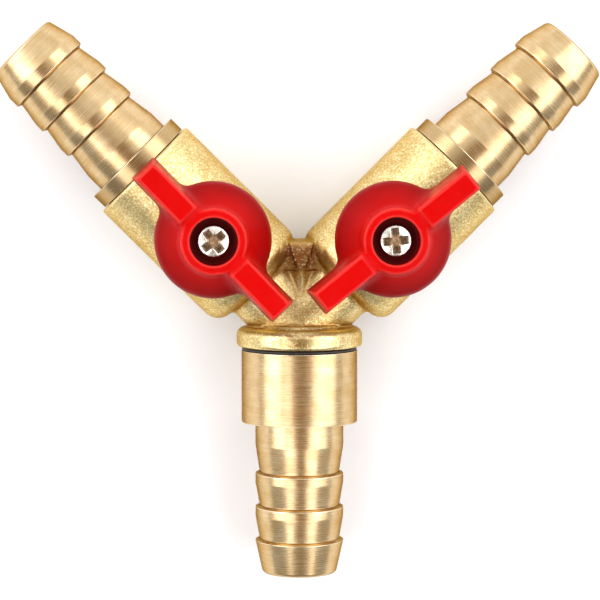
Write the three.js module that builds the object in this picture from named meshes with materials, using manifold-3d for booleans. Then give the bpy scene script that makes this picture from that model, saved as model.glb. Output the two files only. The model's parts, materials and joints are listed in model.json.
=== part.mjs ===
// Brass Y hose splitter: one barbed inlet feeds two barbed outlets, and each outlet arm holds its own
// quarter-turn ball valve with a red butterfly handle. It lies on its back, +Z is up through the handles,
// the inlet points along -Y and the arms open towards +Y. Millimetres.
//
// Distances called "along" run outwards along an axis from the junction, where the three flow axes meet.
// Each arm is a nested group whose +Y is the arm's flow axis, and the inlet's group has its +Y down the
// inlet. Threads are plain cylinders at the thread's diameter.

import * as THREE from 'three';
import { ConvexGeometry } from 'three/addons/geometries/ConvexGeometry.js';
import { mergeVertices } from 'three/addons/utils/BufferGeometryUtils.js';
import Module from 'manifold-3d';

const wasm = await Module();
wasm.setup();

// ---------------------------------------------------------------- driving dimensions

const ARM_ANGLE = 45; // degrees between each arm and +Y

// clearances
const FACE_GAP = 0.15; // between faces that seat on each other
const GASKET_GAP = 0.05; // each side of the squeezed gasket
const THREAD_GAP = 0.15; // radial, between a male and a female thread
const BALL_GAP = 0.2; // ball to seat, and tang to slot
const TURN_GAP = 0.1; // stem in its bore, screw in its hole, square in its socket
const LOOSE_GAP = 0.3; // around pieces that are caught but not clamped

// flow path
const BORE_R = 4.5;
const BALL_LAND = 2.5; // ball radius beyond the bore
const CHAMBER_CLEAR = 0.4; // ball to chamber wall

// seats
const SEAT_SETBACK = 0.3; // how far the seat's back stays inside the ball's radius
const SEAT_DEPTH = 2.1;

// forged body
const THREAD_STEP = 0.6; // mouth thread beyond the chamber
const ARM_WALL = 1.4; // outside the mouth thread
const MOUTH_CHAMFER = 0.4;
const FLOOR_WALL = 3.85; // body behind the chamber's floor
const BRANCH_WALL = 1.6; // around the bore between junction and chamber
const CROTCH_WIDTH = 9; // web that fills the fork between the arms
const CROTCH_THICKNESS = 10.4;
const BEAD_START = 0.5;
const BEAD_LENGTH = 3.2;
const BEAD_PROUD = 0.8; // beyond the inlet's collar
const BEAD_ROUND = 1.3;
const BEAD_EDGE = 0.65; // smaller rounding beside the gasket
const SPIGOT_WALL = 3.1; // male thread for the inlet fitting
const SPIGOT_LENGTH = 8.6;

// stem boss and stop lug
const POCKET_CLEAR = 0.2; // radial, around the stem's flange
const BOSS_WALL = 1.5; // outside the flange's pocket
const BOSS_RISE = 2.4; // above the arm
const BOSS_CHAMFER = 0.3;
const LUG_WIDTH = 1.8;
const LUG_SETBACK = 0.4; // lug's top below the boss's
const LUG_CLEAR = 0.8; // lug to skirt

// barbed fittings
const CREST_R = 7.05;
const BARB_BITE = 0.65; // crest over valley
const TIP_WALL = 1.5; // around the bore at the tip
const TIP_CHAMFER = 0.25;
const RIDGES = 3;
const RING_SETBACK = 0.75; // outlet's shoulder ring inside the arm's radius
const RING_LENGTH = 2.45;
const INSERT_LENGTH = 8.2; // outlet's threaded plug inside the arm
const PILOT_LENGTH = 0.9; // plain nose of that plug
const COLLAR_WALL = 1.5; // outside the inlet's female thread
const COLLAR_LENGTH = 11.5;
const OUTLET_BARB = { root: 2.8, rootTaper: 4.25, land: 1.85, taper: 3.65, tipLand: 1.9, tipTaper: 4.45 };
const INLET_BARB = { root: 3.7, rootTaper: 4.35, land: 1.7, taper: 3.7, tipLand: 0.25, tipTaper: 5.3 };

// inlet gasket
const GASKET_THICKNESS = 0.4;

// stem, its washer and its O-rings
const STEM_R = 3.2;
const FLANGE_LIP = 1.1; // flange beyond the stem
const FLANGE_THICKNESS = 0.9;
const WASHER_THICKNESS = 0.4;
const TANG_WIDTH = 2.8;
const SLOT_FLOOR_WALL = 0.45; // ball between its bore and its slot
const CORD_R = 0.42; // O-ring section
const GROOVE_WIDTH = 0.95;
const GROOVE_LAND = 0.4; // stem beside each groove
const SQUARE_WIDTH = 4.6; // drive square on the stem's top
const SQUARE_HEIGHT = 1.5;

// handle
const HANDLE_CLEAR = 0.9; // skirt above the arm
const SKIRT_R = 9.1;
const SKIRT_WALL = 1.0;
const RIM_HEIGHT = 1.1;
const WEB_THICKNESS = 0.8; // between the drive socket and the screw's head
const COUNTERBORE_R = 3.65;
const COUNTERBORE_DEPTH = 2.5;
const HUB_WALL = 1.45; // around the counterbore
const HUB_COLLAR = 1.8; // nearly straight part of the hub under its top
const HUB_CHAMFER = 0.3;
const CONE_CROWN = 0.5; // bulge of the skirt's cone
const HANDLE_LENGTH = 31.2;
const WING_TOP_WIDTH = 3.5;
const WING_BASE_WIDTH = 4.9;
const WING_LIFT = 0.2; // wing's root above the hub
const WING_RISE = 0.4; // wing's tip above its root
const WING_CORNER = 0.7;
const HANDLE_SPACING = 3.4; // between the two handles' wing tips where they pass closest
const RIB_THICKNESS = 1.2;
const STOP_SLACK = 1.5; // degrees between rib and lug at the ends of the quarter turn

// screw
const SCREW_R = 1.45;
const HEAD_R = 2.43;
const HEAD_HEIGHT = 1.4;
const HEAD_ROUND = 0.45;
const SCREW_GRIP = 3.2; // thread inside the stem
const RECESS_SPAN = 4.1;
const RECESS_WIDTH = 1.25;
const RECESS_DEPTH = 0.8;

// how each valve stands, in degrees: handle closed from in line with its arm, and screw's cross from the wings
const STANDING = { left: { closed: 1, cross: 0 }, right: { closed: 6, cross: 50 } };

// facets round a circle
const LARGE = 32;
const MEDIUM = 24;
const SMALL = 16;

// ---------------------------------------------------------------- sizes that follow from them

const BALL_R = BORE_R + BALL_LAND;
const CHAMBER_R = BALL_R + CHAMBER_CLEAR;
const MOUTH_R = CHAMBER_R + THREAD_STEP;
const ARM_R = MOUTH_R + ARM_WALL;
const BRANCH_R = BORE_R + BRANCH_WALL;
const SPIGOT_R = BORE_R + SPIGOT_WALL;
const COLLAR_BORE_R = SPIGOT_R + THREAD_GAP;
const COLLAR_R = COLLAR_BORE_R + COLLAR_WALL;
const BEAD_R = COLLAR_R + BEAD_PROUD;
const VALLEY_R = CREST_R - BARB_BITE;
const TIP_R = BORE_R + TIP_WALL;
const OVERCUT = 1; // how far a cutter passes the face that it opens

// along the arm: the valve stands just far enough out for both handles to turn
const LEAN = THREE.MathUtils.degToRad(ARM_ANGLE);
const CORNER_REACH = (WING_BASE_WIDTH / 2 - WING_CORNER) * Math.cos(LEAN) + HANDLE_SPACING / 2;
const VALVE_ALONG = HANDLE_LENGTH / 2 + CORNER_REACH / Math.sin(LEAN);
const SEAT_BACK = BALL_R - SEAT_SETBACK; // from the ball's centre
const CHAMBER_FLOOR = VALVE_ALONG - SEAT_BACK - FACE_GAP;
const INSERT_START = VALVE_ALONG + SEAT_BACK + FACE_GAP;
const MOUTH_START = INSERT_START + PILOT_LENGTH;
const ARM_END = INSERT_START + INSERT_LENGTH;
const RING_START = ARM_END + FACE_GAP;
const SHOULDER_START = CHAMBER_FLOOR - FLOOR_WALL;

// along the inlet
const BEAD_END = BEAD_START + BEAD_LENGTH;
const SPIGOT_END = BEAD_END + SPIGOT_LENGTH;
const GASKET_START = BEAD_END + GASKET_GAP;
const COLLAR_START = GASKET_START + GASKET_THICKNESS + GASKET_GAP;
const COLLAR_END = COLLAR_START + COLLAR_LENGTH;

// heights above the flow axes
const FLANGE_R = STEM_R + FLANGE_LIP;
const FLANGE_Z = BALL_R + LOOSE_GAP;
const WASHER_Z = FLANGE_Z + FLANGE_THICKNESS + TURN_GAP;
const POCKET_TOP = WASHER_Z + WASHER_THICKNESS + TURN_GAP;
const POCKET_R = FLANGE_R + POCKET_CLEAR;
const STEM_BORE_R = STEM_R + TURN_GAP;
const BOSS_R = POCKET_R + BOSS_WALL;
const BOSS_TOP = ARM_R + BOSS_RISE;
const SLOT_FLOOR = BORE_R + SLOT_FLOOR_WALL;
const SQUARE_Z = BOSS_TOP + TURN_GAP;
const STEM_TOP = SQUARE_Z + SQUARE_HEIGHT;
const LOWER_GROOVE_Z = POCKET_TOP + GROOVE_LAND + GROOVE_WIDTH / 2;
const UPPER_GROOVE_Z = LOWER_GROOVE_Z + GROOVE_WIDTH + GROOVE_LAND;
const GROOVE_R = STEM_BORE_R - 2 * (CORD_R + GASKET_GAP);
const SKIRT_Z = ARM_R + HANDLE_CLEAR;
const RIM_TOP = SKIRT_Z + RIM_HEIGHT;
const CEILING_Z = BOSS_TOP + LOOSE_GAP;
const WEB_Z = STEM_TOP + TURN_GAP;
const HEAD_SEAT_Z = WEB_Z + WEB_THICKNESS;
const HUB_TOP = HEAD_SEAT_Z + COUNTERBORE_DEPTH;
const HUB_R = COUNTERBORE_R + HUB_WALL;
const HOLLOW_R = SKIRT_R - SKIRT_WALL;
const LUG_R = HOLLOW_R - LUG_CLEAR;

// ---------------------------------------------------------------- materials

const metal = (color, roughness) => new THREE.MeshStandardMaterial({ color, roughness, metalness: 1 });
const plain = (color, roughness) => new THREE.MeshStandardMaterial({ color, roughness, metalness: 0 });
const FORGED_BRASS = metal(0xd9b45f, 0.42);
const TURNED_BRASS = metal(0xd6b277, 0.25);
const PLATED_BALL = metal(0xd6d6d4, 0.1);
const PLATED_STEEL = metal(0xcfc8ba, 0.25);
const RED_NYLON = plain(0xd8100f, 0.35);
const WHITE_PTFE = plain(0xf2f1ec, 0.5);
const BLACK_RUBBER = plain(0x1a1917, 0.7);

// ---------------------------------------------------------------- shape helpers

const ON_AXIS = 1e-6;

// A solid of revolution about +Y from [along, radius] points. A profile that starts on the axis also ends on
// it; any other one closes on itself.
function turned(profile, facets) {
  const points = profile.map(([along, radius]) => new THREE.Vector2(radius, along));
  if (profile[0][1] > ON_AXIS) points.push(points[0].clone());
  return new THREE.LatheGeometry(points, facets);
}

// The same about +Z.
const turnedUp = (profile, facets) => turned(profile, facets).rotateX(Math.PI / 2);

function box(width, length, height, x, y, z) {
  return new THREE.BoxGeometry(width, length, height).translate(x, y, z);
}

// The profile of a plain cylinder from one distance to another.
const bore = (from, to, radius) => [[from, 0], [from, radius], [to, radius], [to, 0]];

// Points of an arc in a profile, from one angle to another in degrees, about [along, radius].
function arc(along, radius, size, from, to, steps) {
  return Array.from({ length: steps + 1 }, (_, i) => {
    const angle = THREE.MathUtils.degToRad(from + ((to - from) * i) / steps);
    return [along + size * Math.cos(angle), radius + size * Math.sin(angle)];
  });
}

// A closed geometry, moved by a matrix, as a manifold-3d solid with its faces pointing out.
function solid(geometry, matrix = new THREE.Matrix4()) {
  const bare = new THREE.BufferGeometry();
  bare.setAttribute('position', geometry.getAttribute('position').clone());
  bare.setIndex(geometry.index ? geometry.index.clone() : null);
  const merged = mergeVertices(bare.applyMatrix4(matrix), 1e-4);
  const triVerts = new Uint32Array(merged.index.array);
  const vertProperties = merged.attributes.position.array;
  const made = new wasm.Manifold(new wasm.Mesh({ numProp: 3, vertProperties, triVerts }));
  if (made.volume() > 0) return made;
  return new wasm.Manifold(new wasm.Mesh({ numProp: 3, vertProperties, triVerts: triVerts.reverse() }));
}

function geometryOf(made) {
  const { vertProperties, triVerts } = made.getMesh();
  const geometry = new THREE.BufferGeometry();
  geometry.setAttribute('position', new THREE.BufferAttribute(vertProperties, 3));
  geometry.setIndex(new THREE.BufferAttribute(triVerts, 1));
  geometry.computeVertexNormals();
  return geometry;
}

const join = (...solids) => solids.reduce((all, next) => all.add(next));
const cut = (whole, ...cutters) => cutters.reduce((left, next) => left.subtract(next), whole);

function mesh(name, made, material) {
  const piece = new THREE.Mesh(geometryOf(made), material);
  piece.name = name;
  return piece;
}

const inArm = (side) => new THREE.Matrix4().makeRotationZ(-side * LEAN);
const inValve = (side) => inArm(side).multiply(new THREE.Matrix4().makeTranslation(0, VALVE_ALONG, 0));
const inInlet = new THREE.Matrix4().makeRotationZ(Math.PI);
const SIDES = { left: -1, right: 1 };

// ---------------------------------------------------------------- forged body

function armOutside() {
  const round = ARM_R - BRANCH_R;
  return turned(
    [
      [0, 0],
      [0, BRANCH_R],
      ...arc(SHOULDER_START + round, BRANCH_R, round, 180, 90, 5),
      [ARM_END - MOUTH_CHAMFER, ARM_R],
      [ARM_END, ARM_R - MOUTH_CHAMFER],
      [ARM_END, 0],
    ],
    LARGE,
  );
}

function armInside() {
  return turned(
    [
      [-BORE_R / 4, 0],
      [-BORE_R / 4, BORE_R],
      [CHAMBER_FLOOR, BORE_R],
      [CHAMBER_FLOOR, CHAMBER_R],
      [MOUTH_START, CHAMBER_R],
      [MOUTH_START, MOUTH_R],
      [ARM_END + OVERCUT, MOUTH_R],
      [ARM_END + OVERCUT, 0],
    ],
    LARGE,
  );
}

// Ball-shaped junction, then the bead and the male thread that the inlet fitting screws on to.
function inletOutside() {
  return turned(
    [
      ...arc(0, 0, BRANCH_R, 180, 90, LARGE / 4),
      [BEAD_START, BRANCH_R],
      [BEAD_START, BEAD_R - BEAD_ROUND],
      ...arc(BEAD_START + BEAD_ROUND, BEAD_R - BEAD_ROUND, BEAD_ROUND, 180, 90, 4),
      ...arc(BEAD_END - BEAD_EDGE, BEAD_R - BEAD_EDGE, BEAD_EDGE, 90, 0, 3),
      [BEAD_END, SPIGOT_R],
      [SPIGOT_END - MOUTH_CHAMFER, SPIGOT_R],
      [SPIGOT_END, SPIGOT_R - MOUTH_CHAMFER],
      [SPIGOT_END, 0],
    ],
    LARGE,
  );
}

// Web that fills the fork, up to where the arms' outlines cross.
function crotch() {
  const top = ARM_R / Math.sin(LEAN);
  const height = top - BRANCH_R;
  return box(CROTCH_WIDTH, height, CROTCH_THICKNESS, 0, top - height / 2, 0);
}

// The stem's boss with the lug that the handle's ribs stop against.
function bossOutside() {
  const profile = [
    [0, 0],
    [0, BOSS_R],
    [BOSS_TOP - BOSS_CHAMFER, BOSS_R],
    [BOSS_TOP, BOSS_R - BOSS_CHAMFER],
    [BOSS_TOP, 0],
  ];
  const lugTop = BOSS_TOP - LUG_SETBACK;
  const lugBottom = ARM_R - ARM_WALL / 2;
  const lug = box(LUG_WIDTH, LUG_R, lugTop - lugBottom, 0, LUG_R / 2, (lugTop + lugBottom) / 2);
  return join(solid(turnedUp(profile, MEDIUM)), solid(lug));
}

function stemPassage() {
  const pocket = solid(turnedUp(bore(0, POCKET_TOP, POCKET_R), MEDIUM));
  return join(pocket, solid(turnedUp(bore(0, BOSS_TOP + OVERCUT, STEM_BORE_R), MEDIUM)));
}

function body() {
  const sides = Object.values(SIDES);
  const outside = join(
    solid(inletOutside(), inInlet),
    solid(crotch()),
    ...sides.map((side) => solid(armOutside(), inArm(side))),
    ...sides.map((side) => bossOutside().transform(inValve(side).elements)),
  );
  return cut(
    outside,
    solid(turned(bore(0, SPIGOT_END + OVERCUT, BORE_R), LARGE), inInlet),
    ...sides.map((side) => solid(armInside(), inArm(side))),
    ...sides.map((side) => stemPassage().transform(inValve(side).elements)),
  );
}

// ---------------------------------------------------------------- barbed fittings

// Outside of a hose barb from its root to its tip, starting along its axis at "start".
function barbOutside(start, barb) {
  const points = [[start, CREST_R], [start + barb.root, CREST_R]];
  let along = start + barb.root + barb.rootTaper;
  points.push([along, VALLEY_R]);
  for (let ridge = 1; ridge < RIDGES; ridge += 1) {
    points.push([along, CREST_R], [along + barb.land, CREST_R]);
    along += barb.land + barb.taper;
    points.push([along, VALLEY_R]);
  }
  points.push([along, CREST_R], [along + barb.tipLand, CREST_R]);
  along += barb.tipLand + barb.tipTaper;
  points.push([along - TIP_CHAMFER, TIP_R], [along, TIP_R - TIP_CHAMFER]);
  return points;
}

function barbLength(barb) {
  return barb.root + barb.rootTaper + (RIDGES - 1) * (barb.land + barb.taper) + barb.tipLand + barb.tipTaper;
}

function outletFitting() {
  const ringR = ARM_R - RING_SETBACK;
  const threadR = MOUTH_R - THREAD_GAP;
  const ringEnd = RING_START + RING_LENGTH;
  return solid(
    turned(
      [
        [INSERT_START, BORE_R],
        [INSERT_START, CHAMBER_R - THREAD_GAP],
        [MOUTH_START + FACE_GAP, CHAMBER_R - THREAD_GAP],
        [MOUTH_START + FACE_GAP, threadR],
        [RING_START, threadR],
        [RING_START, ringR],
        [ringEnd, ringR],
        ...barbOutside(ringEnd, OUTLET_BARB),
        [ringEnd + barbLength(OUTLET_BARB), BORE_R],
      ],
      LARGE,
    ),
  );
}

function inletFitting() {
  const floor = SPIGOT_END + FACE_GAP;
  return solid(
    turned(
      [
        [floor, BORE_R],
        [floor, COLLAR_BORE_R],
        [COLLAR_START, COLLAR_BORE_R],
        [COLLAR_START, COLLAR_R],
        [COLLAR_END, COLLAR_R],
        ...barbOutside(COLLAR_END, INLET_BARB),
        [COLLAR_END + barbLength(INLET_BARB), BORE_R],
      ],
      LARGE,
    ),
  );
}

function gasket() {
  const end = GASKET_START + GASKET_THICKNESS;
  const profile = [
    [GASKET_START, COLLAR_BORE_R],
    [GASKET_START, COLLAR_R],
    [end, COLLAR_R],
    [end, COLLAR_BORE_R],
  ];
  return solid(turned(profile, LARGE));
}

// ---------------------------------------------------------------- ball and seats

function ball() {
  const sphere = turned(arc(0, 0, BALL_R, 180, 0, MEDIUM / 2), MEDIUM);
  const through = BALL_R + OVERCUT;
  const slotHeight = through - SLOT_FLOOR;
  const slot = box(2 * through, TANG_WIDTH + 2 * BALL_GAP, slotHeight, 0, 0, SLOT_FLOOR + slotHeight / 2);
  return cut(solid(sphere), solid(turned(bore(-through, through, BORE_R), MEDIUM)), solid(slot));
}

// The seat on the outlet's side; the inner one is its mirror image.
function seat(direction) {
  const faceR = BALL_R + BALL_GAP;
  const front = SEAT_BACK - SEAT_DEPTH;
  const angleOf = (along) => THREE.MathUtils.radToDeg(Math.acos(along / faceR));
  const lip = Math.sqrt(faceR ** 2 - BORE_R ** 2);
  const profile = [
    [SEAT_BACK, BORE_R],
    [SEAT_BACK, CHAMBER_R - THREAD_GAP],
    [front, CHAMBER_R - THREAD_GAP],
    ...arc(0, 0, faceR, angleOf(front), angleOf(lip), 2),
  ];
  return solid(turned(profile.map(([along, radius]) => [direction * along, radius]), MEDIUM));
}

// ---------------------------------------------------------------- stem, washer and O-rings

function stemShaft() {
  const groove = (z) => [
    [z - GROOVE_WIDTH / 2, STEM_R],
    [z - GROOVE_WIDTH / 2, GROOVE_R],
    [z + GROOVE_WIDTH / 2, GROOVE_R],
    [z + GROOVE_WIDTH / 2, STEM_R],
  ];
  const profile = [
    [FLANGE_Z, 0],
    [FLANGE_Z, FLANGE_R],
    [FLANGE_Z + FLANGE_THICKNESS, FLANGE_R],
    [FLANGE_Z + FLANGE_THICKNESS, STEM_R],
    ...groove(LOWER_GROOVE_Z),
    ...groove(UPPER_GROOVE_Z),
    [SQUARE_Z, STEM_R],
    [SQUARE_Z, 0],
  ];
  return solid(turnedUp(profile, SMALL));
}

function stem() {
  const tangBottom = SLOT_FLOOR + BALL_GAP;
  const tangHeight = FLANGE_Z - tangBottom + FLANGE_THICKNESS / 2;
  const tangLength = 2 * Math.sqrt((FLANGE_R - LOOSE_GAP) ** 2 - (TANG_WIDTH / 2) ** 2);
  const tang = box(tangLength, TANG_WIDTH, tangHeight, 0, 0, tangBottom + tangHeight / 2);
  const squareBottom = UPPER_GROOVE_Z + GROOVE_WIDTH / 2;
  const squareHeight = STEM_TOP - squareBottom;
  const square = box(SQUARE_WIDTH, SQUARE_WIDTH, squareHeight, 0, 0, squareBottom + squareHeight / 2);
  const blank = turnedUp(bore(squareBottom, STEM_TOP, STEM_R - TURN_GAP), SMALL);
  const holeFloor = STEM_TOP - SCREW_GRIP - LOOSE_GAP;
  const hole = turnedUp(bore(holeFloor, STEM_TOP + OVERCUT, SCREW_R + TURN_GAP), SMALL);
  return cut(join(stemShaft(), solid(tang), solid(square).intersect(solid(blank))), solid(hole));
}

function thrustWasher() {
  const top = WASHER_Z + WASHER_THICKNESS;
  const profile = [
    [WASHER_Z, STEM_BORE_R],
    [WASHER_Z, FLANGE_R],
    [top, FLANGE_R],
    [top, STEM_BORE_R],
  ];
  return solid(turnedUp(profile, SMALL));
}

// A round cord in its groove; six sides stand for its section.
const oRing = (z) => solid(turnedUp(arc(z, (GROOVE_R + STEM_BORE_R) / 2, CORD_R, 0, 300, 5), SMALL));

// ---------------------------------------------------------------- handle and its screw

// One wing, towards +Y or -Y: its sides and tip lean in towards the top, and its tip stands above its root.
function wing(direction) {
  const root = HUB_R - HUB_WALL / 2;
  const end = HANDLE_LENGTH / 2;
  const draft = (WING_BASE_WIDTH - WING_TOP_WIDTH) / 2;
  const rootTop = HUB_TOP + WING_LIFT;
  const tipTop = rootTop + WING_RISE;
  const half = WING_BASE_WIDTH / 2;
  const points = [-1, 1].flatMap((side) => [
    [side * half, root, RIM_TOP],
    [side * (half - draft), root, rootTop],
    [side * half, end - WING_CORNER, RIM_TOP],
    [side * (half - WING_CORNER), end, RIM_TOP],
    [side * (half - draft), end - draft - WING_CORNER, tipTop],
    [side * (half - draft - WING_CORNER), end - draft, tipTop],
  ]);
  return solid(new ConvexGeometry(points.map(([x, y, z]) => new THREE.Vector3(x, direction * y, z))));
}

// Ribs under the skirt: the lug stands between them and stops the handle at each end of its quarter turn.
function stopRibs() {
  const inner = BOSS_R + LOOSE_GAP;
  const outer = HOLLOW_R + SKIRT_WALL / 2;
  const bottom = SKIRT_Z + TURN_GAP;
  const top = CEILING_Z + TURN_GAP;
  const rib = box(RIB_THICKNESS, outer - inner, top - bottom, 0, (outer + inner) / 2, (top + bottom) / 2);
  const halfAngle = (width) => THREE.MathUtils.radToDeg(Math.asin(width / 2 / inner));
  const apart = halfAngle(LUG_WIDTH) + halfAngle(RIB_THICKNESS) + STOP_SLACK;
  const angles = [-apart, 90 + apart].map((angle) => THREE.MathUtils.degToRad(angle));
  return angles.map((angle) => solid(rib, new THREE.Matrix4().makeRotationZ(angle)));
}

function handleShell() {
  const coneTop = HUB_TOP - HUB_COLLAR;
  const profile = [
    [SKIRT_Z, 0],
    [SKIRT_Z, SKIRT_R],
    [RIM_TOP, SKIRT_R],
    [(RIM_TOP + coneTop) / 2 + CONE_CROWN, (SKIRT_R + HUB_R) / 2 + CONE_CROWN],
    [coneTop, HUB_R + HUB_CHAMFER],
    [HUB_TOP - HUB_CHAMFER, HUB_R],
    [HUB_TOP, HUB_R - HUB_CHAMFER],
    [HUB_TOP, 0],
  ];
  const hollow = [
    [SKIRT_Z - OVERCUT, 0],
    [SKIRT_Z - OVERCUT, HOLLOW_R],
    [RIM_TOP, HOLLOW_R],
    [CEILING_Z, HOLLOW_R - SKIRT_WALL],
    [CEILING_Z, 0],
  ];
  const blank = join(solid(turnedUp(profile, LARGE)), wing(1), wing(-1));
  return cut(blank, solid(turnedUp(hollow, LARGE)));
}

function handle() {
  const above = HUB_TOP + WING_LIFT + WING_RISE + OVERCUT;
  const counterbore = turnedUp(bore(HEAD_SEAT_Z, above, COUNTERBORE_R), MEDIUM);
  const screwHole = turnedUp(bore(CEILING_Z, HEAD_SEAT_Z + OVERCUT, SCREW_R + TURN_GAP), MEDIUM);
  const socketWidth = SQUARE_WIDTH + 2 * TURN_GAP;
  const socketBottom = CEILING_Z - OVERCUT;
  const socketHeight = WEB_Z - socketBottom;
  const socket = box(socketWidth, socketWidth, socketHeight, 0, 0, socketBottom + socketHeight / 2);
  return cut(join(handleShell(), ...stopRibs()), solid(counterbore), solid(screwHole), solid(socket));
}

function screw(cross) {
  const seat = HEAD_SEAT_Z + GASKET_GAP;
  const top = seat + HEAD_HEIGHT;
  const profile = [
    [STEM_TOP - SCREW_GRIP, 0],
    [STEM_TOP - SCREW_GRIP, SCREW_R],
    [seat, SCREW_R],
    [seat, HEAD_R],
    [top - HEAD_ROUND, HEAD_R],
    [top - HEAD_ROUND / 4, HEAD_R - HEAD_ROUND],
    [top, 0],
  ];
  const middle = top - RECESS_DEPTH / 2 + OVERCUT / 2;
  const slots = [
    box(RECESS_SPAN, RECESS_WIDTH, RECESS_DEPTH + OVERCUT, 0, 0, middle),
    box(RECESS_WIDTH, RECESS_SPAN, RECESS_DEPTH + OVERCUT, 0, 0, middle),
  ];
  const turn = new THREE.Matrix4().makeRotationZ(THREE.MathUtils.degToRad(cross));
  return cut(solid(turnedUp(profile, SMALL)), ...slots.map((slot) => solid(slot, turn)));
}

// ---------------------------------------------------------------- assembly

// Everything of one outlet: what stays in the arm, and the group that turns with the handle.
function valve(name, { closed, cross }) {
  const arm = new THREE.Group();
  arm.rotation.z = -SIDES[name] * LEAN;
  arm.add(mesh(`${name}_outlet_barb`, outletFitting(), TURNED_BRASS));

  const centre = new THREE.Group();
  centre.position.y = VALVE_ALONG;
  centre.add(mesh(`${name}_inner_seat`, seat(-1), WHITE_PTFE));
  centre.add(mesh(`${name}_outer_seat`, seat(1), WHITE_PTFE));
  arm.add(centre);

  const turning = new THREE.Group();
  turning.rotation.z = THREE.MathUtils.degToRad(-closed);
  turning.add(mesh(`${name}_ball`, ball(), PLATED_BALL));
  turning.add(mesh(`${name}_stem`, stem(), TURNED_BRASS));
  turning.add(mesh(`${name}_thrust_washer`, thrustWasher(), WHITE_PTFE));
  turning.add(mesh(`${name}_lower_o_ring`, oRing(LOWER_GROOVE_Z), BLACK_RUBBER));
  turning.add(mesh(`${name}_upper_o_ring`, oRing(UPPER_GROOVE_Z), BLACK_RUBBER));
  turning.add(mesh(`${name}_handle`, handle(), RED_NYLON));
  turning.add(mesh(`${name}_handle_screw`, screw(cross), PLATED_STEEL));
  centre.add(turning);
  return arm;
}

// The origin is under the middle of the bounding box, on the surface that the bead lies on.
function middleAlongY() {
  const outline = barbOutside(RING_START + RING_LENGTH, OUTLET_BARB);
  const top = Math.max(...outline.map(([along, radius]) => along * Math.cos(LEAN) + radius * Math.sin(LEAN)));
  const bottom = -(COLLAR_END + barbLength(INLET_BARB));
  return (top + bottom) / 2;
}

const splitter = new THREE.Group();
splitter.position.set(0, -middleAlongY(), Math.max(BEAD_R, ARM_R));

const inlet = new THREE.Group();
inlet.rotation.z = Math.PI;
inlet.add(mesh('inlet_barb', inletFitting(), TURNED_BRASS), mesh('inlet_gasket', gasket(), BLACK_RUBBER));

splitter.add(mesh('valve_body', body(), FORGED_BRASS), inlet);
splitter.add(...Object.entries(STANDING).map(([name, standing]) => valve(name, standing)));

export default splitter;
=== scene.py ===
import json
import math

import bmesh
import bpy
import numpy as np
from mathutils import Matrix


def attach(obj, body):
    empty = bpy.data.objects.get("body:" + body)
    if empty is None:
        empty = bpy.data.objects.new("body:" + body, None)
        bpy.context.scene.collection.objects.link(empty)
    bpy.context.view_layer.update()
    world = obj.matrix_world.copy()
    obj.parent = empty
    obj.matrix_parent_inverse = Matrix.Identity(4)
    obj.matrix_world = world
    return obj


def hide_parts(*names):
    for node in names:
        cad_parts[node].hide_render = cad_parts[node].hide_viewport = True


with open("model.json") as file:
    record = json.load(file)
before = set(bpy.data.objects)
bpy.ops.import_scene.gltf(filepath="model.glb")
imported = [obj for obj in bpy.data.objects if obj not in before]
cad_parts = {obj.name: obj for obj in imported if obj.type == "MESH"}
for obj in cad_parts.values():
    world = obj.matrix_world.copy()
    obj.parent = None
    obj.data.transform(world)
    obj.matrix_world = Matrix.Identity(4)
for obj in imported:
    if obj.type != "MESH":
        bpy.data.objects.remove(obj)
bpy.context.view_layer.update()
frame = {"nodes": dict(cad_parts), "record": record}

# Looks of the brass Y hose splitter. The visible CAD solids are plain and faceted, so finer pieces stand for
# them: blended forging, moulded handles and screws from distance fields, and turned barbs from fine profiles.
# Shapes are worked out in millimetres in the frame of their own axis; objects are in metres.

import openvdb
from mathutils import Matrix, Vector

MM = 0.001
SIDES = {"left": -1, "right": 1}

# ---------------------------------------------------------------- sizes, in mm

ARM_ANGLE = 45  # degrees between each arm and +Y

# forged body
BORE_R = 4.5
CHAMBER_R = 7.4
MOUTH_R = 8.0
ARM_R = 9.4
BRANCH_R = 6.1
SHOULDER_WALL = 3.85
SHOULDER_ROUND = 2.8
ARM_END_EDGE = 0.35
BRANCH_FILLET = 0.9
CREASE_FILLET = 0.5
FORK_WIDTH = 9.0  # floor between the arms' shoulders
FORK_START = 8.8
FORK_END = 12.7
FORK_THICKNESS = 10.2
FLASH_TOP_WIDTH = 4.2  # trimmed flash that stands on it
FLASH_LOW_WIDTH = 0.8
FLASH_START = 8.4
FLASH_THICKNESS = 11.6
FORK_EDGE = 0.5
FORK_FILLET = 0.5
RIDGE_TOP = 5.6  # web that fills the crease between the branches, a roof with its ridge on x = 0
RIDGE_END_TOP = 5.1
RIDGE_END = 9.6
RIDGE_SLOPE = 36  # degrees
RIDGE_FILLET = 0.3
SEAT_BACK = 6.7
INSERT_LENGTH = 8.2
PILOT_LENGTH = 0.9
FACE_GAP = 0.15
BEAD_START = 0.5
BEAD_END = 3.7
BEAD_R = 10.05
BEAD_ROUND = 1.3
BEAD_EDGE = 0.65
BEAD_FACE_EDGE = 0.4
BEAD_FILLET = 0.4
NECK_FILLET = 0.5
SPIGOT_R = 7.6
SPIGOT_END = 12.3
SPIGOT_EDGE = 0.3
POCKET_R = 4.5
POCKET_TOP = 8.8
BOSS_R = 6.0
BOSS_TOP = 11.8
BOSS_EDGE = 0.2
BOSS_FILLET = 1.2
STEM_BORE_R = 3.3
LUG_WIDTH = 1.8
LUG_R = 7.3
LUG_TOP = 11.4
LUG_FILLET = 0.3
SKIN_WAVE = 0.05  # how far the forging's skin wanders inwards
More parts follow.
